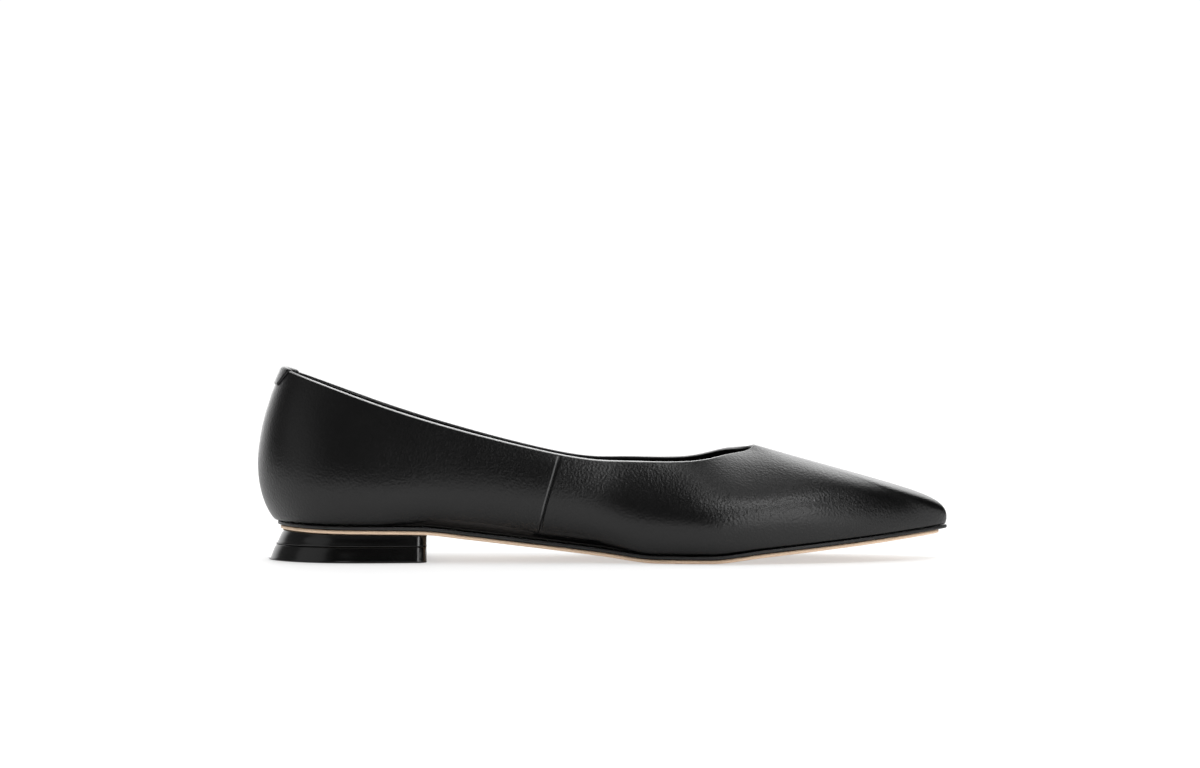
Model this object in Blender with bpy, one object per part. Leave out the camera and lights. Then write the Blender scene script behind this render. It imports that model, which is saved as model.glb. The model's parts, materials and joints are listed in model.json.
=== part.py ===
"""Pointed flat pump for the right foot: a hollow black leather upper on a thin sole with a low stepped heel.

Metres, +Z up, toe along +X, lateral (outer) side along -Y. The shoe stands on the plane z = 0.
The tables and sizes below are in millimetres, and MM turns them into metres.
"""

import math
from collections import namedtuple

import bmesh
import bpy
import numpy as np

MM = 0.001

# Thicknesses, and the gap between pieces that meet
WALL = 1.8
GAP = 0.3
OUTSOLE_THICK = 1.4
MIDSOLE_THICK = 1.2
INSOLE_THICK = 2.0
MIDSOLE_BASE = OUTSOLE_THICK + GAP
UPPER_BASE = MIDSOLE_BASE + MIDSOLE_THICK + GAP

# Mesh fineness: ribs from one section to the next, rows up each rib, and steps round the folded rim
RIBS_PER_SECTION = 5
ROWS = 12
FOLD_STEPS = 4
SMOOTH_ANGLE = 40

# One row for each section of the last, heel to toe. foot: the feather edge, where the upper meets the sole.
# top: the crest of the folded topline. lat and med: how far the outer and inner side stand from the axis.
# lean: degrees from upright, outwards, of the wall as it leaves the foot and as it comes down from the top.
# pull: how far the wall keeps that lean, as a share of the distance from foot to top.
Section = namedtuple(
    "Section",
    "name foot_x foot_lat foot_med top_x top_lat top_med top_z_lat top_z_med"
    " lean_lat lean_med foot_pull top_lean top_pull",
)
SECTIONS = (
    Section("heel_back", -126.2, 0, 0, -123.1, 0, 0, 73.8, 73.8, 37, 37, 0.27, 25, 0.45),
    Section("heel_corner", -119.0, 16.2, 16.4, -116.7, 14.2, 14.2, 71.5, 71.5, 38, 36, 0.30, 23.5, 0.43),
    Section("heel_side", -98.0, 27.0, 26.0, -97.5, 24.4, 24.4, 64.5, 64.2, 41, 38, 0.34, 16, 0.43),
    Section("ankle", -63.0, 25.0, 25.0, -64.0, 28.6, 28.6, 53.3, 52.9, 47, 38, 0.40, 10, 0.40),
    Section("side_seam", -23.5, 22.5, 23.1, -16.0, 29.3, 28.9, 41.3, 40.7, 55, 38, 0.42, 16, 0.37),
    Section("arch_front", 6.0, 26.4, 27.0, 9.0, 26.5, 26.4, 38.7, 39.0, 39, 34, 0.45, 19, 0.40),
    Section("ball", 36.0, 32.8, 33.4, 32.4, 23.3, 22.6, 38.55, 39.3, 35, 24, 0.46, 38, 0.46),
    Section("ball_front", 67.0, 30.8, 33.0, 46.6, 14.4, 13.4, 40.7, 42.4, 15, 16, 0.38, 56.5, 0.61),
    Section("vamp", 99.0, 21.4, 24.2, 55.0, 6.8, 7.0, 42.1, 43.3, 9, 14, 0.18, 73, 0.65),
    Section("toe_corner", 123.8, 6.6, 13.2, 57.8, 2.6, 3.0, 43.8, 44.0, 6, 18, 0.14, 75, 0.79),
    Section("toe_tip", 133.0, -3.4, 3.4, 58.5, -0.3, 0.3, 44.0, 44.0, 14, 14, 0.15, 73.8, 0.82),
)

# Sideways shift of the last's axis that centres the shoe on the origin
AXIS_Y = 0.2

# Side seams: behind the side_seam section the leather laps over the vamp piece. step: how far it stands
# proud. edge and fade: width of the lap's edge and of its run-out behind, as shares of the way to the
# section before. closed: the share of a rib over which the step runs out below the topline's fold and
# above the sole.
SEAM_STEP = 0.5
SEAM_EDGE = 0.02
SEAM_FADE = 0.5
SEAM_CLOSED = 0.1

# Underside of the outsole along the shoe: heel seat, arch, flat tread under the ball, toe spring
Level = namedtuple("Level", "x z")
SOLE_PROFILE = (
    Level(-127.0, 12.0),
    Level(-106.0, 11.0),
    Level(-68.0, 10.4),
    Level(-50.0, 8.4),
    Level(-30.0, 5.95),
    Level(0.0, 2.4),
    Level(21.0, 0.0),
    Level(40.0, 0.0),
    Level(60.0, 2.2),
    Level(91.0, 5.5),
    Level(132.0, 9.9),
)

# Edges of the sole's layers. reach: how far past the feather edge. lift: height over the sole's underside.
# tuck: how much further a layer draws back at the heel's back and at the toe's tip.
Edge = namedtuple("Edge", "reach lift tuck")
Tuck = namedtuple("Tuck", "heel toe")
NO_TUCK = Tuck(0, 0)
TUCK_LENGTH = 32.0
OUTSOLE_REACH = -0.9
OUTSOLE_ROUND = 0.6
OUTSOLE_TUCK = Tuck(1.4, 1.8)
OUTSOLE_EDGES = (
    Edge(OUTSOLE_REACH - OUTSOLE_ROUND, 0.0, OUTSOLE_TUCK),
    Edge(OUTSOLE_REACH, OUTSOLE_ROUND, OUTSOLE_TUCK),
    Edge(OUTSOLE_REACH, OUTSOLE_THICK, OUTSOLE_TUCK),
)
MIDSOLE_REACH = 0.4
MIDSOLE_TUCK = Tuck(1.7, 0.0)
MIDSOLE_EDGES = (
    Edge(MIDSOLE_REACH, MIDSOLE_BASE, MIDSOLE_TUCK),
    Edge(MIDSOLE_REACH, MIDSOLE_BASE + MIDSOLE_THICK, MIDSOLE_TUCK),
)
INSOLE_REACH = -WALL - 2 * GAP
INSOLE_EDGES = (
    Edge(INSOLE_REACH, UPPER_BASE, NO_TUCK),
    Edge(INSOLE_REACH, UPPER_BASE + INSOLE_THICK, NO_TUCK),
)

# Heel. inset: how far inside the feather edge a level stands. flare: how much further back its rear goes.
HeelLevel = namedtuple("HeelLevel", "z inset flare")
BREAST_LATERAL_X = -66.2
BREAST_MEDIAL_X = -69.2
BREAST_CORNER = 4.0
BREAST_STEPS = 4
TIER_Z = 5.6
BLOCK_FOOT = HeelLevel(TIER_Z + GAP, 0.7, 0.3)
BLOCK_TOP_INSET = 1.7
BLOCK_TOP_FLARE = -1.3
TOP_PIECE_LEVELS = (HeelLevel(0.0, -0.5, 1.7), HeelLevel(TIER_Z, 0.3, 0.2))

# Back tab: its thickness, how far it comes down outside and inside, and half its width
TAB_THICK = 0.6
TAB_DROP = 7.3
TAB_INSIDE = 5.0
TAB_HALF_TOP = 12.2
TAB_HALF_FOOT = 8.2
TAB_ROWS = 4
TAB_COLUMNS = 9

Finish = namedtuple("Finish", "colour roughness")
BLACK_LEATHER = Finish((0.0012, 0.0012, 0.0013), 0.35)
BLACK_EDGE = Finish((0.008, 0.008, 0.008), 0.45)
BLACK_GLOSS = Finish((0.002, 0.002, 0.002), 0.10)
TAN_LEATHER = Finish((0.92, 0.68, 0.48), 0.55)
BLACK_SOCK = Finish((0.010, 0.008, 0.007), 0.60)

Ribs = namedtuple("Ribs", "foot foot_handle top_handle top seam_lap")

SECTIONS_ROUND = 2 * (len(SECTIONS) - 1)
SEAM_PLACE = [section.name for section in SECTIONS].index("side_seam")


def rib_places():
    """Where the ribs stand, counted in sections round the last, with one more at each side seam's edge."""
    even = np.arange(SECTIONS_ROUND * RIBS_PER_SECTION) / RIBS_PER_SECTION
    edges = [SEAM_PLACE - SEAM_EDGE, SECTIONS_ROUND - SEAM_PLACE + SEAM_EDGE]
    return np.sort([*even, *edges])


def closed_spline(knots):
    """A smooth closed curve through equally spaced knots, sampled at every rib."""
    knots = np.asarray(knots, dtype=float)
    own = np.eye(len(knots))
    bend = np.linalg.solve(
        4 * own + np.roll(own, 1, axis=1) + np.roll(own, -1, axis=1),
        6 * (np.roll(knots, -1) - 2 * knots + np.roll(knots, 1)),
    )
    places = rib_places()
    here = np.floor(places).astype(int)
    there = (here + 1) % len(knots)
    ahead = places - here
    behind = 1 - ahead
    straight = behind * knots[here] + ahead * knots[there]
    curved = (behind**3 - behind) * bend[here] + (ahead**3 - ahead) * bend[there]
    return straight + curved / 6


def seam_lap():
    """How far the leather stands proud at each rib because it laps over the vamp piece."""
    places = rib_places()
    behind = SEAM_PLACE - np.minimum(places, SECTIONS_ROUND - places)
    run_out = np.clip(1 - (behind - SEAM_EDGE) / SEAM_FADE, 0, 1)
    return np.where(behind > 0, SEAM_STEP * run_out**2, 0)


def sole_height(x):
    """Height of the outsole's underside at x, on a smooth curve that never swings past a level."""
    level_x, level_z = np.array(SOLE_PROFILE).T
    run = np.diff(level_x)
    slope = np.diff(level_z) / run
    same_way = slope[:-1] * slope[1:] > 0
    total = np.where(same_way, slope[:-1] + slope[1:], 1)
    between = np.where(same_way, 2 * slope[:-1] * slope[1:] / total, 0)
    slopes = np.concatenate([slope[:1], between, slope[-1:]])
    span = np.clip(np.searchsorted(level_x, x) - 1, 0, len(run) - 1)
    part = (x - level_x[span]) / run[span]
    rest = 1 - part
    return (
        (1 + 2 * part) * rest**2 * level_z[span]
        + (1 + 2 * rest) * part**2 * level_z[span + 1]
        + part * rest * run[span] * (rest * slopes[span] - part * slopes[span + 1])
    )


def unit(vectors):
    return vectors / np.linalg.norm(vectors, axis=-1, keepdims=True)


def round_the_last(lateral, medial):
    """Two columns of the section table as one value for every rib: heel, lateral side, toe, medial side."""
    there = [getattr(section, lateral) for section in SECTIONS]
    back = [getattr(section, medial) for section in SECTIONS[-2:0:-1]]
    return closed_spline(there + back)


def side_to_side(lateral, medial):
    """As round_the_last for distances from the axis, with the lateral side along -Y."""
    there = [-getattr(section, lateral) for section in SECTIONS]
    back = [getattr(section, medial) for section in SECTIONS[-2:0:-1]]
    return closed_spline(there + back) + AXIS_Y


def plan_normals(loop):
    """Level unit vectors that point away from the foot, one for each point of a closed loop."""
    along = np.roll(loop, -1, axis=0) - np.roll(loop, 1, axis=0)
    return unit(np.stack([along[:, 1], -along[:, 0], np.zeros(len(loop))], axis=1))


def last_ribs():
    """The curves up the wall, each from the feather edge to the topline with a handle at either end."""
    foot_x = round_the_last("foot_x", "foot_x")
    foot_y = side_to_side("foot_lat", "foot_med")
    foot = np.stack([foot_x, foot_y, sole_height(foot_x) + UPPER_BASE], axis=1)
    top_x = round_the_last("top_x", "top_x")
    top_y = side_to_side("top_lat", "top_med")
    top = np.stack([top_x, top_y, round_the_last("top_z_lat", "top_z_med")], axis=1)
    reach = np.linalg.norm(top - foot, axis=1)

    def handle(loop, lean, pull, rise):
        tilt = np.radians(lean)[:, None]
        upright = np.array([0, 0, rise])
        return loop + (pull * reach)[:, None] * (np.sin(tilt) * plan_normals(loop) + np.cos(tilt) * upright)

    foot_lean = round_the_last("lean_lat", "lean_med")
    top_lean = round_the_last("top_lean", "top_lean")
    foot_handle = handle(foot, foot_lean, round_the_last("foot_pull", "foot_pull"), 1)
    top_handle = handle(top, top_lean, round_the_last("top_pull", "top_pull"), -1)
    return Ribs(foot, foot_handle, top_handle, top, seam_lap())


def wall(ribs, share):
    """Points, outward normals and upward directions of the outer face, at a share of each rib."""
    up = np.broadcast_to(share, len(ribs.foot))[:, None]
    down = 1 - up
    points = (
        down**3 * ribs.foot
        + 3 * down**2 * up * ribs.foot_handle
        + 3 * down * up**2 * ribs.top_handle
        + up**3 * ribs.top
    )
    rising = unit(
        down**2 * (ribs.foot_handle - ribs.foot)
        + 2 * down * up * (ribs.top_handle - ribs.foot_handle)
        + up**2 * (ribs.top - ribs.top_handle)
    )
    around = np.roll(points, -1, axis=0) - np.roll(points, 1, axis=0)
    return points, unit(np.cross(around, rising)), rising


def share_below_top(ribs, distance):
    """The share of each rib that lies this far under the topline."""
    return 1 - distance / (3 * np.linalg.norm(ribs.top - ribs.top_handle, axis=1))


def over_rim(ribs, outside, inside, lift):
    """Rows up the outer face, round the folded rim and down the inner face, at a lift off the leather."""
    rim = share_below_top(ribs, WALL / 2)
    rows = []
    for share in [*outside, rim]:
        points, normals, _ = wall(ribs, share)
        lap = ribs.seam_lap * np.clip(np.minimum(rim - share, share) / SEAM_CLOSED, 0, 1)
        rows.append(points + (lift + lap)[:, None] * normals)
    points, normals, rising = wall(ribs, rim)
    centre = points - WALL / 2 * normals
    for step in range(1, FOLD_STEPS):
        angle = math.pi * step / FOLD_STEPS
        rows.append(centre + (WALL / 2 + lift) * (math.cos(angle) * normals + math.sin(angle) * rising))
    for share in [rim, *inside]:
        points, normals, _ = wall(ribs, share)
        rows.append(points - (WALL + lift) * normals)
    return np.array(rows)


def end_tuck(x, tuck):
    """How far a layer draws back under the heel's back and the toe's tip, growing towards either end."""
    near_heel = np.clip(1 - (x - x.min()) / TUCK_LENGTH, 0, 1)
    near_toe = np.clip(1 - (x.max() - x) / TUCK_LENGTH, 0, 1)
    return tuck.heel * near_heel**2 + tuck.toe * near_toe**2


def sole_ring(ribs, reach, lift, tuck=NO_TUCK):
    """The feather edge pushed out by reach, lift over the outsole's underside."""
    outwards = reach - end_tuck(ribs.foot[:, 0], tuck)
    ring = ribs.foot + outwards[:, None] * plan_normals(ribs.foot)
    ring[:, 2] = sole_height(ring[:, 0]) + lift
    return ring


def finish(obj, name, look):
    """Gives a piece its own material."""
    material = bpy.data.materials.new(name)
    material.use_nodes = True
    shader = material.node_tree.nodes["Principled BSDF"]
    shader.inputs["Base Color"].default_value = (*look.colour, 1)
    shader.inputs["Roughness"].default_value = look.roughness
    shader.inputs["Metallic"].default_value = 0
    obj.data.materials.append(material)


def close_end(bm, ring):
    """Strips across a ring, each between a point and its opposite number."""
    half = len(ring) // 2
    bm.faces.new((ring[0], ring[1], ring[-1]))
    for i in range(1, half - 1):
        bm.faces.new((ring[i], ring[i + 1], ring[-i - 1], ring[-i]))
    bm.faces.new((ring[half - 1], ring[half], ring[half + 1]))


def loft(name, rings, look, shoe, endless=False):
    """A solid through closed rings, its two ends closed by strips or, if endless, joined to each other."""
    bm = bmesh.new()
    loops = [[bm.verts.new(point * MM) for point in ring] for ring in rings]
    count = len(loops[0])
    following = loops[1:] + loops[:1] if endless else loops[1:]
    for lower, upper in zip(loops, following):
        for i in range(count):
            j = (i + 1) % count
            bm.faces.new((lower[i], lower[j], upper[j], upper[i]))
    if not endless:
        close_end(bm, loops[0])
        close_end(bm, loops[-1])
    bmesh.ops.recalc_face_normals(bm, faces=bm.faces)
    mesh = bpy.data.meshes.new(name)
    bm.to_mesh(mesh)
    bm.free()
    mesh.shade_smooth()
    mesh.set_sharp_from_angle(angle=math.radians(SMOOTH_ANGLE))
    obj = bpy.data.objects.new(name, mesh)
    bpy.context.scene.collection.objects.link(obj)
    obj.parent = shoe
    finish(obj, name, look)


def make_upper(ribs, shoe):
    """One wall round the foot, open at the topline and underneath."""
    shares = [share_below_top(ribs, WALL / 2) * row / (ROWS - 1) for row in range(ROWS - 1)]
    rows = over_rim(ribs, shares, shares[::-1], 0)
    rows[-1] = sole_ring(ribs, -WALL, UPPER_BASE)
    loft("upper", rows, BLACK_LEATHER, shoe, endless=True)


def make_layer(name, edges, look, ribs, shoe):
    """A layer of the sole that follows the feather edge."""
    loft(name, [sole_ring(ribs, *edge) for edge in edges], look, shoe)


def heel_side(points, outward, breast_x):
    """One side of a heel level, from the back to the breast, with the breast's corner rounded."""
    corner_x = breast_x - BREAST_CORNER
    corner_y = np.interp(corner_x, points[:, 0], points[:, 1])
    side = [point for point in points[:, :2] if point[0] < corner_x - BREAST_CORNER / 2]
    for step in range(BREAST_STEPS + 1):
        turn = math.pi / 2 * step / BREAST_STEPS
        forward = BREAST_CORNER * math.sin(turn)
        inward = BREAST_CORNER * (1 - math.cos(turn))
        side.append(np.array([corner_x + forward, corner_y - outward * inward]))
    return side


def heel_ring(ribs, inset, flare):
    """Plan of the heel at one level: round at the back, straight across the breast."""
    ring = sole_ring(ribs, -inset, 0)
    half = len(ring) // 2
    back_x = ring[0, 0]
    ring[:, 0] -= flare * np.clip((BREAST_LATERAL_X - ring[:, 0]) / (BREAST_LATERAL_X - back_x), 0, 1)
    lateral = heel_side(ring[:half], -1, BREAST_LATERAL_X)
    medial = heel_side(ring[:half:-1], 1, BREAST_MEDIAL_X)
    breast = (lateral[-1] + medial[-1]) / 2
    return np.array([*lateral, breast, *medial[::-1]])


def at_height(plan, height):
    return np.column_stack([plan, np.broadcast_to(height, len(plan))])


def make_heel(ribs, shoe):
    """Two tiers: a tapered block under the heel seat, and a flared top piece, a step wider, on the floor."""
    foot = at_height(heel_ring(ribs, BLOCK_FOOT.inset, BLOCK_FOOT.flare), BLOCK_FOOT.z)
    seat_plan = heel_ring(ribs, BLOCK_TOP_INSET, BLOCK_TOP_FLARE)
    seat = at_height(seat_plan, sole_height(seat_plan[:, 0]) - GAP)
    loft("heel_block", [foot, seat], BLACK_GLOSS, shoe)
    levels = [at_height(heel_ring(ribs, level.inset, level.flare), level.z) for level in TOP_PIECE_LEVELS]
    loft("heel_top_piece", levels, BLACK_GLOSS, shoe)


def make_back_tab(ribs, shoe):
    """A tapered tab that lies on the back of the heel and folds over the topline."""
    drops = np.linspace(TAB_DROP, WALL / 2, TAB_ROWS, endpoint=False)
    insides = np.linspace(TAB_INSIDE, WALL / 2, TAB_ROWS - 1, endpoint=False)
    outside = [share_below_top(ribs, drop) for drop in drops]
    inside = [share_below_top(ribs, drop) for drop in insides[::-1]]
    under = over_rim(ribs, outside, inside, GAP)
    over = over_rim(ribs, outside, inside, GAP + TAB_THICK)
    spread = np.full(len(under), TAB_HALF_TOP)
    spread[: TAB_ROWS + 1] = np.linspace(TAB_HALF_FOOT, TAB_HALF_TOP, TAB_ROWS + 1)
    from_back = np.cumsum(np.linalg.norm(np.diff(ribs.top, axis=0), axis=1))
    rings = []
    for low, high, half_width in zip(under, over, spread):
        half_ribs = np.interp(half_width, [0, *from_back], range(len(ribs.top)))
        places = half_ribs * np.linspace(-1, 1, TAB_COLUMNS)
        lower = [on_row(low, place) for place in places]
        upper = [on_row(high, place) for place in places]
        ends = [(lower[end] + upper[end]) / 2 for end in (0, -1)]
        rings.append(np.array([ends[0], *upper[1:-1], ends[1], *lower[-2:0:-1]]))
    loft("back_tab", rings, BLACK_LEATHER, shoe)


def on_row(row, place):
    """The point of a row at a place counted in ribs from the heel's back, positive on the lateral side."""
    before = math.floor(place)
    part = place - before
    return row[before] * (1 - part) + row[before + 1] * part


def main():
    for obj in list(bpy.data.objects):
        bpy.data.objects.remove(obj)
    shoe = bpy.data.objects.new("shoe", None)
    bpy.context.scene.collection.objects.link(shoe)
    ribs = last_ribs()
    make_layer("outsole", OUTSOLE_EDGES, TAN_LEATHER, ribs, shoe)
    make_layer("midsole", MIDSOLE_EDGES, BLACK_EDGE, ribs, shoe)
    make_heel(ribs, shoe)
    make_upper(ribs, shoe)
    make_layer("insole", INSOLE_EDGES, BLACK_SOCK, ribs, shoe)
    make_back_tab(ribs, shoe)


main()
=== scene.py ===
"""Looks of a pointed flat pump for the right foot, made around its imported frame.

Metres, +Z up, toe along +X, lateral (outer) side along -Y. The sizes below are in millimetres, and MM turns
them into metres. The section table and the sole's profile are the ones that the solids are made from.
"""

import json
import math
from collections import namedtuple

import bmesh
import bpy
import numpy as np
from mathutils import Matrix, Vector


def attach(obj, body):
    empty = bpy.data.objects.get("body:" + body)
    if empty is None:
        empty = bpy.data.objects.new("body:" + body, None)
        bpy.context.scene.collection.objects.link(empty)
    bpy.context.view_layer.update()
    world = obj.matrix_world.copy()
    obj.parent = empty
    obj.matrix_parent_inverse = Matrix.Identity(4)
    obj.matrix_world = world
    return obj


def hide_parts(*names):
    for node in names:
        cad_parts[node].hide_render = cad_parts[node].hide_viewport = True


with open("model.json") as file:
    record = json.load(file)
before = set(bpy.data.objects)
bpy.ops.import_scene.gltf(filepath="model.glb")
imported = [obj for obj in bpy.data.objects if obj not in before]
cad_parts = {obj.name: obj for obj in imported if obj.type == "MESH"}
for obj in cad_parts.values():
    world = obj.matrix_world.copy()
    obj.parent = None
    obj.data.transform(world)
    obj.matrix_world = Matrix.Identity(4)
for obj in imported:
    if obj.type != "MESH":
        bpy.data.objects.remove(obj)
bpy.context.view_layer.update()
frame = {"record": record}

SLOT_COLOURS = {material["slot"]: material["base_color"][:3] for material in frame["record"]["materials"]}
MM = 0.001
# Points closer than this, in metres, are one
WELD = 1e-6

# Thicknesses of the shoe's layers, and the gap between pieces that meet
WALL = 1.8
GAP = 0.3
OUTSOLE_THICK = 1.4
MIDSOLE_THICK = 1.2
INSOLE_THICK = 2.0
MIDSOLE_BASE = OUTSOLE_THICK + GAP
UPPER_BASE = MIDSOLE_BASE + MIDSOLE_THICK + GAP

# One row for each section of the last, heel to toe. foot: the feather edge, where the upper meets the sole.
# top: the crest of the folded topline. lat and med: how far the outer and inner side stand from the axis.
# lean: degrees from upright, outwards, of the wall as it leaves the foot and as it comes down from the top.
# pull: how far the wall keeps that lean, as a share of the distance from foot to top.
Section = namedtuple(
    "Section",
    "name foot_x foot_lat foot_med top_x top_lat top_med top_z_lat top_z_med"
    " lean_lat lean_med foot_pull top_lean top_pull",
)
SECTIONS = (
    Section("heel_back", -126.2, 0, 0, -123.1, 0, 0, 73.8, 73.8, 37, 37, 0.27, 25, 0.45),
    Section("heel_corner", -119.0, 16.2, 16.4, -116.7, 14.2, 14.2, 71.5, 71.5, 38, 36, 0.30, 23.5, 0.43),
    Section("heel_side", -98.0, 27.0, 26.0, -97.5, 24.4, 24.4, 64.5, 64.2, 41, 38, 0.34, 16, 0.43),
    Section("ankle", -63.0, 25.0, 25.0, -64.0, 28.6, 28.6, 53.3, 52.9, 47, 38, 0.40, 10, 0.40),
    Section("side_seam", -23.5, 22.5, 23.1, -16.0, 29.3, 28.9, 41.3, 40.7, 55, 38, 0.42, 16, 0.37),
    Section("arch_front", 6.0, 26.4, 27.0, 9.0, 26.5, 26.4, 38.7, 39.0, 39, 34, 0.45, 19, 0.40),
    Section("ball", 36.0, 32.8, 33.4, 32.4, 23.3, 22.6, 38.55, 39.3, 35, 24, 0.46, 38, 0.46),
    Section("ball_front", 67.0, 30.8, 33.0, 46.6, 14.4, 13.4, 40.7, 42.4, 15, 16, 0.38, 56.5, 0.61),
    Section("vamp", 99.0, 21.4, 24.2, 55.0, 6.8, 7.0, 42.1, 43.3, 9, 14, 0.18, 73, 0.65),
    Section("toe_corner", 123.8, 6.6, 13.2, 57.8, 2.6, 3.0, 43.8, 44.0, 6, 18, 0.14, 75, 0.79),
    Section("toe_tip", 133.0, -3.4, 3.4, 58.5, -0.3, 0.3, 44.0, 44.0, 14, 14, 0.15, 73.8, 0.82),
)
SECTIONS_ROUND = 2 * (len(SECTIONS) - 1)
SEAM_PLACE = [section.name for section in SECTIONS].index("side_seam")

# Sideways shift of the last's axis that centres the shoe on the origin
AXIS_Y = 0.2

# Underside of the outsole along the shoe: heel seat, arch, flat tread under the ball, toe spring
Level = namedtuple("Level", "x z")
SOLE_PROFILE = (
    Level(-127.0, 12.0),
    Level(-106.0, 11.0),
    Level(-68.0, 10.4),
    Level(-50.0, 8.4),
    Level(-30.0, 5.95),
    Level(0.0, 2.4),
    Level(21.0, 0.0),
    Level(40.0, 0.0),
    Level(60.0, 2.2),
    Level(91.0, 5.5),
    Level(132.0, 9.9),
)

# Mesh fineness: ribs from one section to the next, extra ribs beside a side seam, and rows up the leather.
# band: where the extra ribs stand, from before the seam to behind it. pace: from section to section.
RIBS_PER_SECTION = 26
SEAM_RIBS = 32
SEAM_BAND = (-1.2, 3.4)
SEAM_PACE = 40.0
PLACE_DIGITS = 9
OUTER_ROWS = 72
FOLD_STEPS = 16
FACING_ROWS = 4
HIDDEN_ROWS = 10
LINING_ROWS = 40
ACROSS = 18

# Side seams: how far the quarter stands proud of the vamp it laps over, how soon its edge and its run-out
# end, the crease that its edge sits in, and how strongly it bows back: at most 4/27 of this, two thirds of
# the way up. closed: the share of a rib at its foot and rim over which the seam runs out.
SEAM_STEP = 0.45
SEAM_EDGE = 0.7
SEAM_RUN = 20.0
SEAM_GROOVE = 0.75
SEAM_GROOVE_AT = 0.3
SEAM_GROOVE_WIDTH = 0.3
SEAM_BOW = 8.0
SEAM_CLOSED = 0.1
# The lap's painted highlight, a lighter grey painted into the leather's colour where the quarter's raised
# edge
# catches the light: its strength, where it starts and ends behind the seam, and where it runs out below
LAP_HIGHLIGHT = 0.2
LAP_HIGHLIGHT_START = (0.0, 0.3)
LAP_HIGHLIGHT_END = (0.6, 0.95)
LAP_HIGHLIGHT_FOOT = (0.2, 0.45)

# Upper: the leather itself, how far it turns in over the topline, the hair between it and the lining, and
# how its foot tucks in to the sole
LEATHER_THICK = 1.0
FACING = 3.0
FACING_SKIVE = 0.35
LINING_HAIR = 1e-6
FOOT_TUCK = 0.25
FOOT_TUCK_HEIGHT = 2.2

# The topline's painted highlight: a lighter grey painted into the leather's colour over the fold's outer
# side and crest, standing for the light that the folded edge catches. turn: degrees round the fold from its
# outer side. The painted highlight comes to its full strength between the first pair of x, behind which it
# is painted dimmer, and ends at the throat between the second.
RIM_TURN_START = (8, 26)
RIM_TURN_END = (95, 125)
RIM_BACK = (-119.0, -108.0)
RIM_BACK_SHARE = 0.45
RIM_THROAT = (51.0, 57.0)
RIM_HIGHLIGHT_COLOUR = (0.38, 0.38, 0.38)

# Soft forms of the leather on its outer side, placed along lines: ridges, and troughs where the
# height is below 0. x and z: where a line starts and ends. fade: how far each end takes to run out.
Crease = namedtuple("Crease", "name start_x start_z end_x end_z width height fade")
CREASES = (
    Crease("vamp_ridge", 50.0, 28.5, 84.0, 17.0, 8.0, 0.3, 14.0),
    Crease("waist_tuck", -72.0, 12.6, 4.0, 4.2, 7.0, -1.6, 30.0),
)

# Back tab: its thickness, how far it stands off the leather, how wide its rounded edge is, how far it comes
# down outside and inside, and half its width
TAB_THICK = 0.6
TAB_LIFT = 0.05
TAB_EDGE = 1.0
TAB_DROP = 7.3
TAB_INSIDE = 5.0
TAB_HALF_TOP = 12.2
TAB_HALF_FOOT = 8.2
TAB_ROWS = 26
TAB_COLUMNS = 30

# Heel. inset: how far inside the feather edge a level stands. flare: how much further back its rear goes.
# hair: what is left open between the two tiers.
HeelLevel = namedtuple("HeelLevel", "z inset flare")
HAIR = 0.05
BREAST_LATERAL_X = -66.2
BREAST_MEDIAL_X = -69.2
BREAST_CORNER = 4.0
TIER_Z = 5.6
BLOCK_FOOT = HeelLevel(TIER_Z + GAP, 0.7, 0.3)
BLOCK_TOP_INSET = 1.7
BLOCK_TOP_FLARE = -1.3
TOP_PIECE_FOOT = HeelLevel(0.0, -0.5, 1.7)
TOP_PIECE_TOP = HeelLevel(TIER_Z + GAP - HAIR, 0.3, 0.2)
HEEL_EDGE = 0.45
HEEL_EDGE_STEPS = 4
HEEL_FACE_INSET = 1.6
HEEL_SIDE_POINTS = 70
HEEL_CORNER_STEPS = 10
HEEL_BREAST_STEPS = 8
HEEL_SIDE_ROWS = 6

# Sole edges. reach: how far past the feather edge. lift: height over the outsole's underside.
Edge = namedtuple("Edge", "reach lift")
OUTSOLE_REACH = -0.9
OUTSOLE_ROUND = 0.6
MIDSOLE_REACH = 0.4
MIDSOLE_ROUND = 0.3
INSOLE_CLEARANCE = 0.2
INSOLE_REACH = -WALL - INSOLE_CLEARANCE
INSOLE_ROUND = 0.5
INSOLE_CROWN = 0.5
EDGE_STEPS = 5
# Tuck: how much further a layer draws back at the heel's back and at the toe's tip
Tuck = namedtuple("Tuck", "heel toe")
NO_TUCK = Tuck(0, 0)
OUTSOLE_TUCK = Tuck(1.4, 1.8)
MIDSOLE_TUCK = Tuck(1.7, 0.0)
TUCK_LENGTH = 32.0

# Camera of the photo: level, a little under the height of the topline's back
CAMERA_X = -0.8
CAMERA_DISTANCE = 950.0
CAMERA_HEIGHT = 67.2
LENS = 73.9
SENSOR = 36.0

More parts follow.
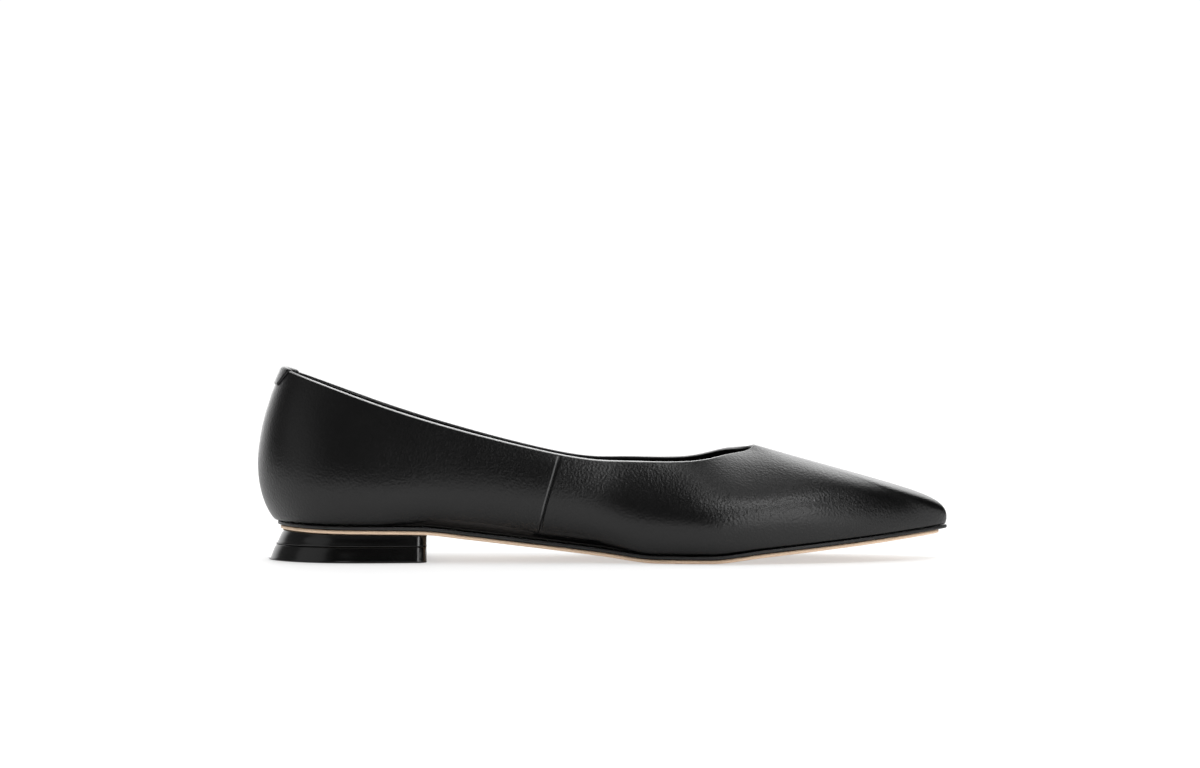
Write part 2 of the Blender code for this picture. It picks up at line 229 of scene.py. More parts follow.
# Studio light, as panels far away. azimuth: degrees from the camera's own side, towards the toe.
# core and fade: degrees from the panel's middle to where it starts to fade and to where it ends.
Panel = namedtuple("Panel", "name azimuth elevation core fade radiance")
PANELS = (
    Panel("back", 160, 40, 6, 31, 2.0),
    Panel("back_core", 152, 39, 5, 20, 1.4),
    Panel("back_up", 168, 72, 6, 24, 0.47),
    Panel("back_right", 140, 62, 6, 22, 0.7),
    Panel("back_low", -178, 5, 15, 35, 1.6),
    Panel("back_left", -150, 6, 15, 35, 1.6),
    Panel("left", -80, 25, 20, 55, 0.12),
    Panel("front_left", -60, 18, 17, 24, 0.32),
    Panel("front_low", -17, 3, 2, 9, 1.0),
    Panel("front_high", -14, 42, 6, 26, 0.12),
    Panel("strip_foot", 28, 3, 3, 9, 3.7),
    Panel("strip_foot_mid", 38, 3, 3, 9, 1.5),
    Panel("strip_foot_right", 48, 3, 3, 9, 2.0),
    Panel("strip_foot_end", 60, 3, 3, 9, 1.1),
    Panel("strip_low", 28, 16, 3, 9, 3.5),
    Panel("strip_low_right", 38, 16, 3, 9, 1.1),
    Panel("strip_mid", 32, 28, 3, 11, 4.2),
    Panel("strip_mid_right", 40, 28, 3, 9, 1.6),
    Panel("strip_high", 34, 52, 3, 10, 8.0),
    Panel("strip_top", 30, 64, 3, 9, 1.2),
    Panel("strip_end", 45, 76, 3, 9, 1.2),
    Panel("strip_end_right", 65, 76, 3, 9, 0.6),
)
# Floor, its sizes in metres. tone: as the shoe mirrors it. seen tone and glow: as the camera shows it.
# bounce: the light it sends up to matt surfaces. drop: how far it lies under the shoe.
FLOOR_RADIUS = 12.0
FLOOR_SEGMENTS = 96
FLOOR_DROP = 0.0001
FLOOR_ROUGHNESS = 0.7
FLOOR_TONE = 0.55
FLOOR_SEEN_TONE = 0.33
FLOOR_GLOW = 0.5
FLOOR_BOUNCE = 0.2
# Light of the dark room around the panels, and of the white that the camera sees beyond the floor
ROOM_RADIANCE = 0.012
BACKGROUND_RADIANCE = 1.05
# Key light: broad and overhead, and not mirrored in the shoe
KEY_AZIMUTH = -10
KEY_ELEVATION = 86
KEY_ANGLE = 60
KEY_STRENGTH = 3.5

# Shares of its slot's colour, in red, green and blue, that the sole leather's dark and light fibres have
SOLE_DARK = (0.85, 0.82, 0.8)
SOLE_LIGHT = (1.1, 1.12, 1.15)
# A mix node's sockets for colours
MIX_FIRST = 6
MIX_SECOND = 7
MIX_RESULT = 2

Ribs = namedtuple("Ribs", "places foot foot_handle top_handle top")


# The last's own functions

def unit(vectors):
    return vectors / np.linalg.norm(vectors, axis=-1, keepdims=True)


def smooth(value, start, end):
    """Goes from 0 at start to 1 at end on an even curve."""
    part = np.clip((value - start) / (end - start), 0, 1)
    return part * part * (3 - 2 * part)


def closed_spline(knots, places):
    """A smooth closed curve through equally spaced knots, read at places counted in knots."""
    knots = np.asarray(knots, dtype=float)
    own = np.eye(len(knots))
    bend = np.linalg.solve(
        4 * own + np.roll(own, 1, axis=1) + np.roll(own, -1, axis=1),
        6 * (np.roll(knots, -1) - 2 * knots + np.roll(knots, 1)),
    )
    here = np.floor(places).astype(int)
    there = (here + 1) % len(knots)
    ahead = places - here
    behind = 1 - ahead
    straight = behind * knots[here] + ahead * knots[there]
    curved = (behind**3 - behind) * bend[here] + (ahead**3 - ahead) * bend[there]
    return straight + curved / 6


def sole_height(x):
    """Height of the outsole's underside at x, on a smooth curve that never swings past a level."""
    level_x, level_z = np.array(SOLE_PROFILE).T
    run = np.diff(level_x)
    slope = np.diff(level_z) / run
    same_way = slope[:-1] * slope[1:] > 0
    total = np.where(same_way, slope[:-1] + slope[1:], 1)
    between = np.where(same_way, 2 * slope[:-1] * slope[1:] / total, 0)
    slopes = np.concatenate([slope[:1], between, slope[-1:]])
    span = np.clip(np.searchsorted(level_x, x) - 1, 0, len(run) - 1)
    part = (x - level_x[span]) / run[span]
    rest = 1 - part
    return (
        (1 + 2 * part) * rest**2 * level_z[span]
        + (1 + 2 * rest) * part**2 * level_z[span + 1]
        + part * rest * run[span] * (rest * slopes[span] - part * slopes[span + 1])
    )


def plan_normals(loop):
    """Level unit vectors that point away from the foot, one for each point of a closed loop."""
    along = np.roll(loop, -1, axis=0) - np.roll(loop, 1, axis=0)
    return unit(np.stack([along[:, 1], -along[:, 0], np.zeros(len(loop))], axis=1))


def rib_places(beside_seams):
    """Places round the last, counted in sections: even ones, and more beside each side seam if asked."""
    even = np.arange(SECTIONS_ROUND * RIBS_PER_SECTION) / RIBS_PER_SECTION
    if not beside_seams:
        return even
    band = np.linspace(*SEAM_BAND, SEAM_RIBS) / SEAM_PACE
    clear = [
        place for place in even
        if place == SEAM_PLACE
        or place == SECTIONS_ROUND - SEAM_PLACE
        or not -band[-1] <= min(place, SECTIONS_ROUND - place) - SEAM_PLACE <= -band[0]
    ]
    places = [*clear, *(SEAM_PLACE - band), *(SECTIONS_ROUND - SEAM_PLACE + band)]
    return np.unique(np.round(places, PLACE_DIGITS))


def last_ribs(places):
    """The curves up the wall, each from the feather edge to the topline with a handle at either end."""

    def column(lateral, medial, side=1):
        there = [side * getattr(section, lateral) for section in SECTIONS]
        back = [getattr(section, medial) for section in SECTIONS[-2:0:-1]]
        return closed_spline(there + back, places)

    foot_x = column("foot_x", "foot_x")
    foot_y = column("foot_lat", "foot_med", -1) + AXIS_Y
    foot = np.stack([foot_x, foot_y, sole_height(foot_x) + UPPER_BASE], axis=1)
    top_y = column("top_lat", "top_med", -1) + AXIS_Y
    top = np.stack([column("top_x", "top_x"), top_y, column("top_z_lat", "top_z_med")], axis=1)
    reach = np.linalg.norm(top - foot, axis=1)

    def handle(loop, lean, pull, rise):
        tilt = np.radians(lean)[:, None]
        upright = np.array([0, 0, rise])
        return loop + (pull * reach)[:, None] * (np.sin(tilt) * plan_normals(loop) + np.cos(tilt) * upright)

    foot_handle = handle(foot, column("lean_lat", "lean_med"), column("foot_pull", "foot_pull"), 1)
    top_handle = handle(top, column("top_lean", "top_lean"), column("top_pull", "top_pull"), -1)
    return Ribs(places, foot, foot_handle, top_handle, top)


def wall(ribs, share):
    """Points, outward normals and upward directions of the outer face at a share of each rib."""
    up = np.broadcast_to(share, len(ribs.foot))[:, None]
    down = 1 - up
    points = (
        down**3 * ribs.foot
        + 3 * down**2 * up * ribs.foot_handle
        + 3 * down * up**2 * ribs.top_handle
        + up**3 * ribs.top
    )
    rising = unit(
        down**2 * (ribs.foot_handle - ribs.foot)
        + 2 * down * up * (ribs.top_handle - ribs.foot_handle)
        + up**2 * (ribs.top - ribs.top_handle)
    )
    around = np.roll(points, -1, axis=0) - np.roll(points, 1, axis=0)
    return points, unit(np.cross(around, rising)), rising


def share_below_top(ribs, distance):
    """The share of each rib that lies this far under the topline."""
    return 1 - distance / (3 * np.linalg.norm(ribs.top - ribs.top_handle, axis=1))


def offset_row(ribs, share, offset):
    """A row of the wall, pushed out along its normals."""
    points, normals, _ = wall(ribs, share)
    return points + np.broadcast_to(offset, len(points))[:, None] * normals


def fold_rows(ribs, lift):
    """Rows round the folded rim, from its outer side to its inner side, standing lift off the leather."""
    points, normals, rising = wall(ribs, share_below_top(ribs, WALL / 2))
    centre = points - WALL / 2 * normals
    return [
        centre + (WALL / 2 + lift) * (math.cos(turn) * normals + math.sin(turn) * rising)
        for turn in np.linspace(0, math.pi, FOLD_STEPS + 1)
    ]


def end_tuck(x, tuck):
    """How far a layer draws back under the heel's back and the toe's tip, growing towards either end."""
    near_heel = np.clip(1 - (x - x.min()) / TUCK_LENGTH, 0, 1)
    near_toe = np.clip(1 - (x.max() - x) / TUCK_LENGTH, 0, 1)
    return tuck.heel * near_heel**2 + tuck.toe * near_toe**2


def sole_ring(ribs, reach, lift, tuck=NO_TUCK):
    """The feather edge pushed out by reach, lift over the outsole's underside."""
    outwards = reach - end_tuck(ribs.foot[:, 0], tuck)
    ring = ribs.foot + outwards[:, None] * plan_normals(ribs.foot)
    ring[:, 2] = sole_height(ring[:, 0]) + lift
    return ring


# Making pieces

def piece(name, rows, material, node, rim=None):
    """A closed piece: a grid whose vertices go onto rows of points, welded where its borders meet.

    rim, if given, is how far each point gets the painted highlight, a lighter grey painted along the
    topline's fold and the side seams' laps.
    """
    rows = np.asarray(rows)
    bm = bmesh.new()
    bmesh.ops.create_grid(bm, x_segments=rows.shape[1] - 1, y_segments=rows.shape[0] - 1, size=0.5)
    for vertex, point in zip(bm.verts, rows.reshape(-1, 3) * MM):
        vertex.co = point
    if rim is not None:
        layer = bm.verts.layers.float.new("rim")
        for vertex, share in zip(bm.verts, rim.ravel()):
            vertex[layer] = share
    bmesh.ops.remove_doubles(bm, verts=bm.verts, dist=WELD)
    bmesh.ops.recalc_face_normals(bm, faces=bm.faces)
    mesh = bpy.data.meshes.new(name)
    bm.to_mesh(mesh)
    bm.free()
    mesh.shade_smooth()
    mesh.materials.append(material)
    obj = bpy.data.objects.new(name, mesh)
    bpy.context.scene.collection.objects.link(obj)
    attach(obj, "root")
    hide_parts(node)


def ring_round(rows):
    """Rows of a closed loop with each row's first point again at its end."""
    rows = np.asarray(rows)
    return np.concatenate([rows, rows[:, :1]], axis=1)


# Upper

def behind_seam(ribs, points):
    """Distance of each point of a row behind its own side's seam, measured along the row."""
    steps = np.linalg.norm(np.diff(points, axis=0), axis=1)
    along = np.concatenate([[0], np.cumsum(steps)])
    lateral_seam = np.interp(SEAM_PLACE, ribs.places, along)
    medial_seam = np.interp(SECTIONS_ROUND - SEAM_PLACE, ribs.places, along)
    lateral = ribs.places <= SECTIONS_ROUND / 2
    return np.where(lateral, lateral_seam - along, along - medial_seam)


def seam_height(behind):
    """How far the leather stands off the last beside a side seam."""
    run_out = np.clip(1 - behind / SEAM_RUN, 0, 1) ** 2
    lap = SEAM_STEP * smooth(behind, 0, SEAM_EDGE) * run_out
    groove = SEAM_GROOVE * np.exp(-(((behind + SEAM_GROOVE_AT) / SEAM_GROOVE_WIDTH) ** 2))
    return lap - groove


def crease_height(points):
    """How far the leather's soft forms stand off the last."""
    height = np.zeros(len(points))
    for crease in CREASES:
        start = np.array([crease.start_x, crease.start_z])
        run = np.array([crease.end_x, crease.end_z]) - start
        length = np.linalg.norm(run)
        ahead = run / length
        from_start = points[:, [0, 2]] - start
        along = from_start @ ahead
        across = from_start @ np.array([-ahead[1], ahead[0]])
        half_fade = crease.fade / 2
        begun = smooth(along, -half_fade, half_fade)
        ended = smooth(along, length - half_fade, length + half_fade)
        height += crease.height * (begun * (1 - ended)) * np.exp(-((across / crease.width) ** 2))
    return np.where(points[:, 1] < AXIS_Y, height, 0)


def rim_highlight_shares(ribs):
    """How far each point of the folded rim gets the topline's painted highlight, painted dimmer towards the
    back.
    """
    turns = np.linspace(0, 180, FOLD_STEPS + 1)
    across = smooth(turns, *RIM_TURN_START) * (1 - smooth(turns, *RIM_TURN_END))
    x = ribs.top[:, 0]
    along = RIM_BACK_SHARE + (1 - RIM_BACK_SHARE) * smooth(x, *RIM_BACK)
    along *= 1 - smooth(x, *RIM_THROAT)
    return np.outer(across, along)


def outer_row(ribs, share, rim):
    """A row of the leather's outer face, with its seams, its soft forms and the tuck at its foot.

    With it comes how far each of its points gets the painted highlight along a seam's lap.
    """
    points, normals, _ = wall(ribs, share)
    up = share / rim
    behind = behind_seam(ribs, points) - SEAM_BOW * up**2 * (1 - up)
    closing = np.clip(np.minimum(rim - share, share) / SEAM_CLOSED, 0, 1)
    seams = seam_height(behind) * closing
    # Painted highlight: a lighter grey painted along the lap's raised edge, where it catches the light
    lip = LAP_HIGHLIGHT * smooth(behind, *LAP_HIGHLIGHT_START) * (1 - smooth(behind, *LAP_HIGHLIGHT_END))
    lip *= smooth(up, *LAP_HIGHLIGHT_FOOT)
    above_foot = points[:, 2] - ribs.foot[:, 2]
    tuck = FOOT_TUCK * np.clip(1 - above_foot / FOOT_TUCK_HEIGHT, 0, 1) ** 2
    return points + (seams + crease_height(points) - tuck)[:, None] * normals, lip


def make_upper(leather):
    ribs = last_ribs(rib_places(True))
    rim = share_below_top(ribs, WALL / 2)
    outer = [outer_row(ribs, rim * step / OUTER_ROWS, rim) for step in range(OUTER_ROWS)]
    rows = [row for row, _ in outer]
    rows += fold_rows(ribs, 0)
    facing = share_below_top(ribs, FACING)
    for step in range(1, FACING_ROWS + 1):
        rows.append(offset_row(ribs, rim + (facing - rim) * step / FACING_ROWS, -WALL))
    edge = share_below_top(ribs, FACING + FACING_SKIVE)
    for step in range(HIDDEN_ROWS + 1):
        rows.append(offset_row(ribs, edge * (1 - step / HIDDEN_ROWS), -LEATHER_THICK))
    rows.append(rows[0])
    # How far each point gets the painted highlight: along each seam's lap on the outer rows, along the
    # topline on the fold
    light = np.zeros((len(rows), len(ribs.top)))
    light[:OUTER_ROWS] = [lip for _, lip in outer]
    light[OUTER_ROWS : OUTER_ROWS + FOLD_STEPS + 1] = rim_highlight_shares(ribs)
    piece("upper_leather", ring_round(rows), leather, "upper", ring_round(light))


def make_lining(lining):
    ribs = last_ribs(rib_places(False))
    start = share_below_top(ribs, FACING + FACING_SKIVE)
    rows = [offset_row(ribs, start * (1 - step / LINING_ROWS), -WALL) for step in range(LINING_ROWS + 1)]
    for step in range(HIDDEN_ROWS + 1):
        rows.append(offset_row(ribs, start * step / HIDDEN_ROWS, -LEATHER_THICK - LINING_HAIR))
    rows.append(rows[0])
    piece("upper_lining", ring_round(rows), lining, "upper")


# Sole

def rounded_edge(reach, base, top, radius):
    """An edge of the sole from its underside to its upper side, with both corners rounded."""
    turns = np.linspace(0, math.pi / 2, EDGE_STEPS)
    lower = [
        Edge(reach - radius * (1 - math.sin(turn)), base + radius * (1 - math.cos(turn)))
        for turn in turns
    ]
    upper = [
        Edge(reach - radius * (1 - math.cos(turn)), top - radius * (1 - math.sin(turn)))
        for turn in turns
    ]
    return lower + upper


def layer_rows(ribs, edges, tuck, crown):
    """Rows round a sole layer: up its outer edge, over the top, down its inner edge, back below."""
    half = len(ribs.foot) // 2
    there = np.arange(half + 1)
    rings = [sole_ring(ribs, edge.reach, edge.lift, tuck) for edge in edges]
    lateral = [ring[there] for ring in rings]
    medial = [ring[-there] for ring in rings]

    def across(start, end, lift, rise):
        rows = []
        for part in np.linspace(0, 1, ACROSS)[1:-1]:
            row = start * (1 - part) + end * part
            width = np.linalg.norm(end - start, axis=1)
            swell = np.minimum(rise, width / ACROSS) * (1 - (2 * part - 1) ** 4)
            row[:, 2] = sole_height(row[:, 0]) + lift + swell
            rows.append(row)
        return rows

    over = across(lateral[-1], medial[-1], edges[-1].lift, crown)
    under = across(medial[0], lateral[0], edges[0].lift, 0)
    return [*lateral, *over, *medial[::-1], *under, lateral[0]]


def make_sole(tan, strip, sock):
    ribs = last_ribs(rib_places(False))
    outsole = rounded_edge(OUTSOLE_REACH, 0, OUTSOLE_THICK, OUTSOLE_ROUND)
    piece("outsole_plate", layer_rows(ribs, outsole, OUTSOLE_TUCK, 0), tan, "outsole")
    midsole = rounded_edge(MIDSOLE_REACH, MIDSOLE_BASE, MIDSOLE_BASE + MIDSOLE_THICK, MIDSOLE_ROUND)
    piece("midsole_strip", layer_rows(ribs, midsole, MIDSOLE_TUCK, 0), strip, "midsole")
    insole = rounded_edge(INSOLE_REACH, UPPER_BASE, UPPER_BASE + INSOLE_THICK, INSOLE_ROUND)
    piece("insole_sock", layer_rows(ribs, insole, NO_TUCK, INSOLE_CROWN), sock, "insole")


# Heel

def heel_side(points, outward, breast_x):
    """One side of a heel level, from the back to the breast, with the breast's corner rounded."""
    corner_x = breast_x - BREAST_CORNER
    corner = np.array([corner_x, np.interp(corner_x, points[:, 0], points[:, 1])])
    line = np.array([*points[points[:, 0] < corner_x, :2], corner])
    along = np.concatenate([[0], np.cumsum(np.linalg.norm(np.diff(line, axis=0), axis=1))])
    stops = np.linspace(0, along[-1], HEEL_SIDE_POINTS)
    side = list(np.stack([np.interp(stops, along, line[:, axis]) for axis in (0, 1)], axis=1))
    for turn in np.linspace(0, math.pi / 2, HEEL_CORNER_STEPS)[1:]:
        inward = BREAST_CORNER * (1 - math.cos(turn))
        side.append(corner + np.array([BREAST_CORNER * math.sin(turn), -outward * inward]))
    return side


def heel_ring(ribs, inset, flare):
    """Plan of the heel at one level: round at the back, straight across the breast."""
    ring = sole_ring(ribs, -inset, 0)
    half = len(ring) // 2
    back_x = ring[0, 0]
    ring[:, 0] -= flare * np.clip((BREAST_LATERAL_X - ring[:, 0]) / (BREAST_LATERAL_X - back_x), 0, 1)
    lateral = heel_side(ring[:half], -1, BREAST_LATERAL_X)
    medial = heel_side(ring[[0, *range(len(ring) - 1, half, -1)]], 1, BREAST_MEDIAL_X)
    breast = [
        lateral[-1] * (1 - part) + medial[-1] * part
        for part in np.linspace(0, 1, HEEL_BREAST_STEPS)[1:-1]
    ]
    return np.array([*lateral, *breast, *medial[::-1]])


def heel_rows(ribs, foot, top, top_height):
    """Rows of a heel tier from the middle of its underside, up its side, to the middle of its top."""
    rows = []

    def add_level(part, inset, rise):
        level_inset = foot.inset + (top.inset - foot.inset) * part + inset
        plan = heel_ring(ribs, level_inset, foot.flare + (top.flare - foot.flare) * part)
        lower = np.full(len(plan), foot.z)
        height = lower * (1 - part) + top_height(plan[:, 0]) * part + rise
        rows.append(np.column_stack([plan, height]))

    turns = np.linspace(0, math.pi / 2, HEEL_EDGE_STEPS + 1)
    add_level(0, HEEL_FACE_INSET, 0)
    for turn in turns:
        add_level(0, HEEL_EDGE * (1 - math.sin(turn)), HEEL_EDGE * (1 - math.cos(turn)))
    for part in np.linspace(0, 1, HEEL_SIDE_ROWS)[1:-1]:
        add_level(part, 0, 0)
    for turn in turns:
        add_level(1, HEEL_EDGE * (1 - math.cos(turn)), -HEEL_EDGE * (1 - math.sin(turn)))
    add_level(1, HEEL_FACE_INSET, 0)
    poles = [np.broadcast_to(row.mean(axis=0), row.shape) for row in (rows[0], rows[-1])]
    return ring_round([poles[0], *rows, poles[1]])


def make_heel(gloss):
    ribs = last_ribs(rib_places(False))
    block_top = HeelLevel(0, BLOCK_TOP_INSET, BLOCK_TOP_FLARE)
    block = heel_rows(ribs, BLOCK_FOOT, block_top, lambda x: sole_height(x) - GAP)
    piece("heel_upper_tier", block, gloss, "heel_block")
    top_piece = heel_rows(ribs, TOP_PIECE_FOOT, TOP_PIECE_TOP, lambda x: np.full(len(x), TOP_PIECE_TOP.z))
    piece("heel_lower_tier", top_piece, gloss, "heel_top_piece")


# Back tab

def make_back_tab(leather):
    """A tapered tab that lies on the back of the heel and folds over the topline."""
    ribs = last_ribs(rib_places(False))
    half = len(ribs.top) // 2
    side = np.arange(-half, half + 1)
    steps = np.linalg.norm(np.diff(ribs.top[side], axis=0), axis=1)
    from_back = np.concatenate([[0], np.cumsum(steps)])
    from_back -= from_back[half]
    drops = np.linspace(TAB_DROP, WALL / 2, TAB_ROWS, endpoint=False)
    insides = np.linspace(WALL / 2, TAB_INSIDE, TAB_ROWS)[1:]

    def path(lift):
        outside = [offset_row(ribs, share_below_top(ribs, drop), lift) for drop in drops]
        inside = [offset_row(ribs, share_below_top(ribs, drop), -WALL - lift) for drop in insides]
        return np.array([*outside, *fold_rows(ribs, lift), *inside])[:, side]

    low, high = path(TAB_LIFT), path(TAB_LIFT + TAB_THICK)
    down = np.zeros(len(low))
    down[: len(drops)] = (drops - WALL / 2) / (TAB_DROP - WALL / 2)
    to_end = np.full(len(low), TAB_DROP)
    to_end[: len(drops)] = TAB_DROP - drops
    to_end[-len(insides):] = TAB_INSIDE - insides
    rows = []
    for low_row, high_row, drop, end in zip(low, high, down, to_end):
        half_width = TAB_HALF_TOP + (TAB_HALF_FOOT - TAB_HALF_TOP) * drop
        places = half_width * np.sin(np.linspace(-math.pi / 2, math.pi / 2, TAB_COLUMNS))
        margin = np.minimum(half_width - np.abs(places), end) / TAB_EDGE
        swell = np.sqrt(1 - (1 - np.clip(margin, 0, 1)) ** 2)[:, None]
        bottom = np.stack([np.interp(places, from_back, low_row[:, axis]) for axis in range(3)], axis=1)
        top = np.stack([np.interp(places, from_back, high_row[:, axis]) for axis in range(3)], axis=1)
        top = bottom * (1 - swell) + top * swell
        rows.append([*top, *bottom[::-1], top[0]])
    piece("back_tab_leather", rows, leather, "back_tab")


# Materials

def add(tree, kind, inputs=None, **settings):
    """A node with its settings, and its inputs set to values or joined to other nodes' outputs."""
    made = tree.nodes.new(kind)
    for key, value in settings.items():
        setattr(made, key, value)
    for socket, value in (inputs or {}).items():
        if isinstance(value, bpy.types.NodeSocket):
            tree.links.new(value, made.inputs[socket])
        else:
            made.inputs[socket].default_value = value
    return made


def finish(name, slot, roughness, **sockets):
    """A material in a slot's colour, its node tree, its shader and the coordinates its patterns follow."""
    material = bpy.data.materials.new(name)
    material.use_nodes = True
    tree = material.node_tree
    shader = tree.nodes["Principled BSDF"]
    shader.inputs["Base Color"].default_value = (*SLOT_COLOURS[slot], 1)
    shader.inputs["Roughness"].default_value = roughness
    for socket, value in sockets.items():
        shader.inputs[socket.replace("_", " ")].default_value = value
    coordinates = add(tree, "ShaderNodeTexCoord").outputs["Object"]
    return material, tree, shader, coordinates


def mix_heights(tree, first, second, share):
    """Two height patterns added, the second one weighted."""
    scaled = add(tree, "ShaderNodeMath", {0: second, 1: share}, operation="MULTIPLY").outputs[0]
    return add(tree, "ShaderNodeMath", {0: first, 1: scaled}, operation="ADD").outputs[0]


def spread(tree, value, low, high):
    """A 0 to 1 pattern stretched between two values."""
    inputs = {"Value": value, "To Min": low, "To Max": high}
    return add(tree, "ShaderNodeMapRange", inputs).outputs["Result"]


def blend(tree, factor, first, second):
    """A colour that goes from the first to the second as the factor goes from 0 to 1."""
    tones = add(tree, "ShaderNodeMix", {"Factor": factor}, data_type="RGBA")
    tones.inputs[MIX_FIRST].default_value = (*first, 1)
    tones.inputs[MIX_SECOND].default_value = (*second, 1)
    return tones.outputs[MIX_RESULT]


def bump(tree, shader, height, strength, depth):
    made = add(tree, "ShaderNodeBump", {"Height": height, "Strength": strength, "Distance": depth * MM})
    tree.links.new(made.outputs["Normal"], shader.inputs["Normal"])


def per_mm(size):
    """The scale of a pattern whose cells are this many millimetres across."""
    return 1 / (size * MM)


def smooth_leather():
    """Black smooth leather: fine pebbled grain, a satin sheen that varies a little from place to place."""
    material, tree, shader, at = finish("smooth_leather", "black_leather", roughness=0.3)
    pebbles = add(tree, "ShaderNodeTexVoronoi", {"Vector": at, "Scale": per_mm(0.85)}, feature="SMOOTH_F1")
    fine = add(tree, "ShaderNodeTexNoise", {"Vector": at, "Scale": per_mm(0.4), "Detail": 3.0})
    height = mix_heights(tree, pebbles.outputs["Distance"], fine.outputs["Fac"], share=0.5)
    bump(tree, shader, height, strength=0.8, depth=0.12)
    # Painted highlight: the rim attribute mixes a lighter grey into the black along the topline's fold and
    # the side seams' laps
    rim = add(tree, "ShaderNodeAttribute", attribute_name="rim").outputs["Fac"]
    tone = blend(tree, rim, SLOT_COLOURS["black_leather"], RIM_HIGHLIGHT_COLOUR)
    tree.links.new(tone, shader.inputs["Base Color"])
    patches = add(tree, "ShaderNodeTexNoise", {"Vector": at, "Scale": per_mm(14.0), "Detail": 4.0})
    sheen = spread(tree, patches.outputs["Fac"], low=0.26, high=0.36)
    tree.links.new(sheen, shader.inputs["Roughness"])
    return material


def lining_leather():
    material, tree, shader, at = finish("lining_leather", "black_sock", roughness=0.6)
    fine = add(tree, "ShaderNodeTexNoise", {"Vector": at, "Scale": per_mm(0.6), "Detail": 4.0})
    bump(tree, shader, fine.outputs["Fac"], strength=0.3, depth=0.05)
    sheen = spread(tree, fine.outputs["Fac"], low=0.52, high=0.68)
    tree.links.new(sheen, shader.inputs["Roughness"])
    return material


def inked_edge():
    material, tree, shader, at = finish("inked_edge", "black_edge", roughness=0.4)
    rough = add(tree, "ShaderNodeTexNoise", {"Vector": at, "Scale": per_mm(1.2), "Detail": 4.0})
    bump(tree, shader, rough.outputs["Fac"], strength=0.9, depth=0.25)
    sheen = spread(tree, rough.outputs["Fac"], low=0.28, high=0.55)
    tree.links.new(sheen, shader.inputs["Roughness"])
    return material


def sole_leather():
    material, tree, shader, at = finish("sole_leather", "tan_sole", roughness=0.5)
    fibres = add(tree, "ShaderNodeTexNoise", {"Vector": at, "Scale": per_mm(0.8), "Detail": 5.0})
    bump(tree, shader, fibres.outputs["Fac"], strength=0.3, depth=0.08)
    tan = SLOT_COLOURS["tan_sole"]
    dark = [channel * share for channel, share in zip(tan, SOLE_DARK)]
    light = [channel * share for channel, share in zip(tan, SOLE_LIGHT)]
    tone = blend(tree, fibres.outputs["Fac"], dark, light)
    tree.links.new(tone, shader.inputs["Base Color"])
    return material


def heel_lacquer():
    material, tree, shader, at = finish(
        "heel_lacquer", "black_gloss", roughness=0.18, Coat_Weight=0.25, Coat_Roughness=0.16
    )
    haze = add(tree, "ShaderNodeTexNoise", {"Vector": at, "Scale": per_mm(9.0), "Detail": 3.0})
    sheen = spread(tree, haze.outputs["Fac"], low=0.15, high=0.21)
    tree.links.new(sheen, shader.inputs["Roughness"])
    return material


# Studio

def make_floor():
    """A wide floor just under the shoe. It shows in another tone to the camera than to the shoe."""
    bm = bmesh.new()
    bmesh.ops.create_circle(bm, cap_ends=True, segments=FLOOR_SEGMENTS, radius=FLOOR_RADIUS)
    mesh = bpy.data.meshes.new("floor")
    bm.to_mesh(mesh)
    bm.free()
    mesh.transform(Matrix.Translation((0, 0, -FLOOR_DROP)))
    material = bpy.data.materials.new("floor")
    material.use_nodes = True
    tree = material.node_tree
    shader = tree.nodes["Principled BSDF"]
    shader.inputs["Roughness"].default_value = FLOOR_ROUGHNESS
    shader.inputs["Emission Color"].default_value = (1, 1, 1, 1)
    rays = add(tree, "ShaderNodeLightPath").outputs
    tone = blend(tree, rays["Is Camera Ray"], [FLOOR_TONE] * 3, [FLOOR_SEEN_TONE] * 3)
    tree.links.new(tone, shader.inputs["Base Color"])
    seen = add(tree, "ShaderNodeMath", {0: rays["Is Camera Ray"], 1: FLOOR_GLOW}, operation="MULTIPLY")
    sent = add(tree, "ShaderNodeMath", {0: rays["Is Diffuse Ray"], 1: FLOOR_BOUNCE}, operation="MULTIPLY")
    glow = add(tree, "ShaderNodeMath", {0: seen.outputs[0], 1: sent.outputs[0]}, operation="ADD")
    tree.links.new(glow.outputs[0], shader.inputs["Emission Strength"])
    mesh.materials.append(material)
    floor = bpy.data.objects.new("floor", mesh)
    bpy.context.scene.collection.objects.link(floor)


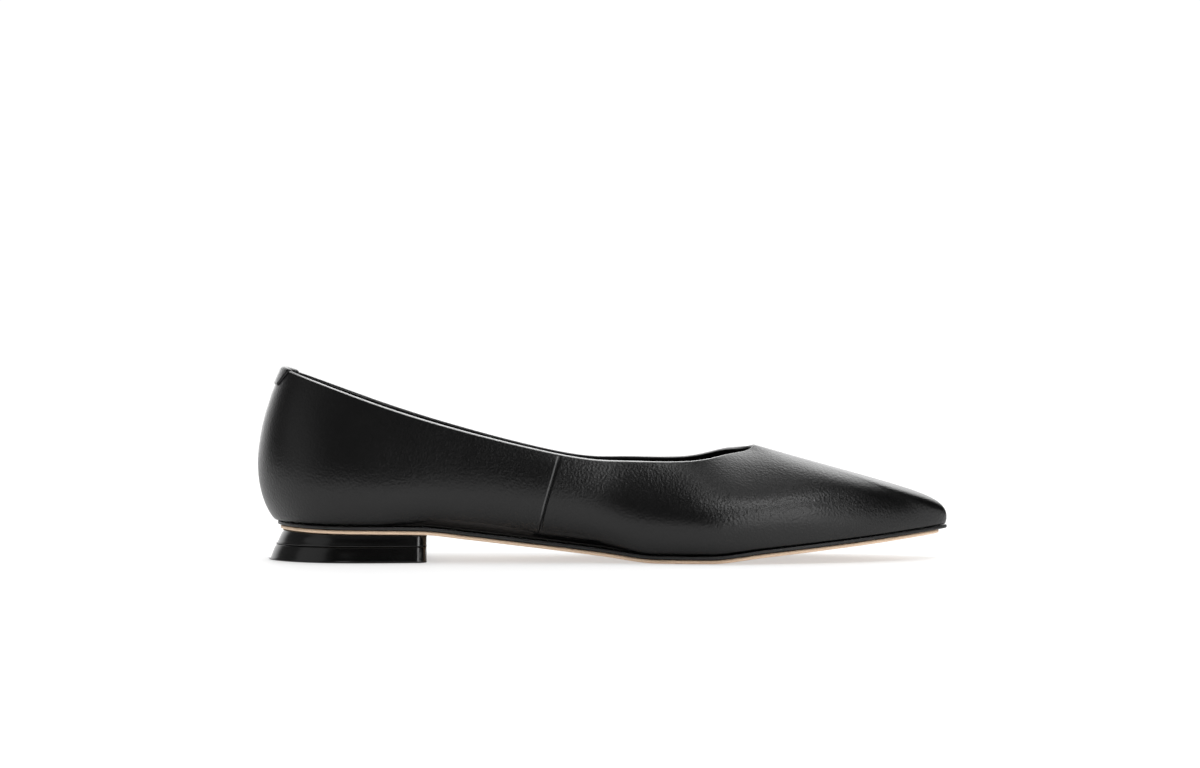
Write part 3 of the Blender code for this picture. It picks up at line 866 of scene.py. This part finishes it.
def make_world():
    """A studio as the shoe sees it, soft panels in a dark room. The camera sees white past the floor."""
    world = bpy.data.worlds.new("studio")
    bpy.context.scene.world = world
    world.use_nodes = True
    tree = world.node_tree
    direction = add(tree, "ShaderNodeTexCoord").outputs["Generated"]
    light = ROOM_RADIANCE
    for panel in PANELS:
        middle = studio_direction(panel.azimuth, panel.elevation)
        facing = add(tree, "ShaderNodeVectorMath", {0: direction, 1: middle}, operation="DOT_PRODUCT")
        levels = {
            "Value": facing.outputs["Value"],
            "From Min": math.cos(math.radians(panel.fade)),
            "From Max": math.cos(math.radians(panel.core)),
            "To Max": panel.radiance,
        }
        glow = add(tree, "ShaderNodeMapRange", levels, interpolation_type="SMOOTHSTEP").outputs["Result"]
        light = add(tree, "ShaderNodeMath", {0: glow, 1: light}, operation="ADD").outputs[0]
    seen = add(tree, "ShaderNodeLightPath").outputs["Is Camera Ray"]
    shown = add(tree, "ShaderNodeMix", {"Factor": seen, "A": light, "B": BACKGROUND_RADIANCE})
    background = tree.nodes["Background"]
    background.inputs["Color"].default_value = (1, 1, 1, 1)
    tree.links.new(shown.outputs[0], background.inputs["Strength"])


def studio_direction(azimuth, elevation):
    """Unit vector from the shoe, for an azimuth counted from the camera's side towards the toe."""
    azimuth, elevation = math.radians(azimuth), math.radians(elevation)
    level = math.cos(elevation)
    return Vector((level * math.sin(azimuth), -level * math.cos(azimuth), math.sin(elevation)))


def make_key():
    """A broad soft light from overhead, which the shoe doesn't mirror."""
    data = bpy.data.lights.new("key", "SUN")
    data.angle = math.radians(KEY_ANGLE)
    data.energy = KEY_STRENGTH
    key = bpy.data.objects.new("key", data)
    away = studio_direction(KEY_AZIMUTH, KEY_ELEVATION)
    key.rotation_euler = away.to_track_quat("Z", "Y").to_euler()
    key.visible_glossy = False
    key.visible_camera = False
    bpy.context.scene.collection.objects.link(key)


def make_camera():
    data = bpy.data.cameras.new("camera")
    data.sensor_width = SENSOR
    data.lens = LENS
    camera = bpy.data.objects.new("camera", data)
    camera.location = (CAMERA_X * MM, -CAMERA_DISTANCE * MM, CAMERA_HEIGHT * MM)
    camera.rotation_euler = (math.pi / 2, 0, 0)
    bpy.context.scene.collection.objects.link(camera)
    bpy.context.scene.camera = camera


def main():
    make_camera()
    make_floor()
    make_world()
    make_key()
    bpy.context.scene.view_settings.view_transform = "Standard"
    leather = smooth_leather()
    lining = lining_leather()
    make_upper(leather)
    make_lining(lining)
    make_sole(sole_leather(), inked_edge(), lining)
    make_heel(heel_lacquer())
    make_back_tab(leather)


main()
